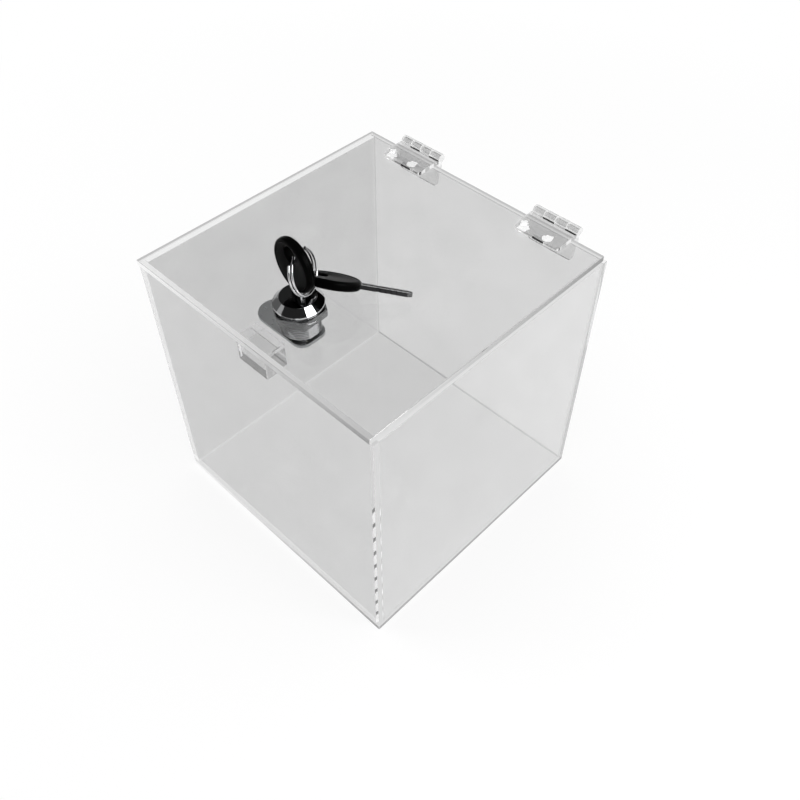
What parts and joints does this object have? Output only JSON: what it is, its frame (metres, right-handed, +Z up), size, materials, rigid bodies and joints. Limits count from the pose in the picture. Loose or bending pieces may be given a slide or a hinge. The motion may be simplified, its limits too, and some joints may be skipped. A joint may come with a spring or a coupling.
{
  "type": "lockable donation box",
  "caption": "Clear cube box with a hinged lid on moulded hinges, a cam lock in the lid that turns under a glued catch, and spare keys on a split ring.",
  "frame": {"origin": "centre of the base panel's underside", "axes": "+X along the front wall to the right, +Y from the front to the hinges, +Z up"},
  "size_m": [0.1503, 0.155, 0.1828],
  "materials": {
    "clear_acrylic": "polished clear sheet",
    "clear_hinge_plastic": "moulded clear plastic",
    "chromed_zinc": "bright chrome",
    "zinc_plated_steel": "satin plated",
    "brass": "stamped",
    "spring_steel": "drawn wire",
    "nickel_plated_steel": "bright nickel plate",
    "black_plastic": "glossy moulded"
  },
  "bodies": {
    "box": {"base_panel": "clear_acrylic", "front_panel": "clear_acrylic", "back_panel": "clear_acrylic", "left_panel": "clear_acrylic", "right_panel": "clear_acrylic", "catch_block": "clear_acrylic", "left_hinge_wall_leaf": "clear_hinge_plastic", "right_hinge_wall_leaf": "clear_hinge_plastic", "left_hinge_pin": "clear_hinge_plastic", "right_hinge_pin": "clear_hinge_plastic"},
    "lid": {"lid_panel": "clear_acrylic", "left_hinge_lid_leaf": "clear_hinge_plastic", "right_hinge_lid_leaf": "clear_hinge_plastic", "lock_housing": "chromed_zinc", "lock_nut": "chromed_zinc"},
    "lock_rotor": {"lock_plug": "chromed_zinc", "wafer_springs": "spring_steel", "cam": "zinc_plated_steel", "cam_washer": "zinc_plated_steel", "cam_screw": "zinc_plated_steel"},
    "wafers": {"lock_wafers": "brass"},
    "first_key": {"key_1_blade": "nickel_plated_steel", "key_1_head": "black_plastic"},
    "ring": {"key_ring": "nickel_plated_steel"},
    "second_key": {"key_2_blade": "nickel_plated_steel", "key_2_head": "black_plastic"}
  },
  "joints": [
    {"name": "lid_open", "type": "hinge", "parent": "box", "child": "lid", "pos_m": [0, 0.07725, 0.15225], "axis": [-1, 0, 0], "range_deg": [0, 180]},
    {"name": "lock_turn", "type": "hinge", "parent": "lid", "child": "lock_rotor", "pos_m": [-0.002, -0.04335, 0.15], "axis": [0, 0, 1], "range_deg": [0, 90]},
    {"name": "key_withdraw", "type": "slide", "parent": "lock_rotor", "child": "first_key", "axis": [0, 0, 1], "range_m": [0, 0.024]},
    {"name": "wafer_slide", "type": "slide", "parent": "lock_rotor", "child": "wafers", "axis": [-0.9947, 0.1028, 0], "range_m": [0, 0.0008]},
    {"name": "ring_swing", "type": "hinge", "parent": "first_key", "child": "ring", "pos_m": [-0.00142, -0.04341, 0.1763], "axis": [0.4451, -0.8884, -0.1124], "range_deg": [0, 40]},
    {"name": "second_key_swing", "type": "hinge", "parent": "ring", "child": "second_key", "pos_m": [-0.00014, -0.03486, 0.15929], "axis": [-0.4811, 0.6481, 0.5903], "range_deg": [0, 32]}
  ],
  "couplings": [
    {"joint": "wafer_slide", "follows": "key_withdraw", "ratio": 0.033333},
    {"joint": "second_key_swing", "follows": "ring_swing", "ratio": 0.8}
  ]
}
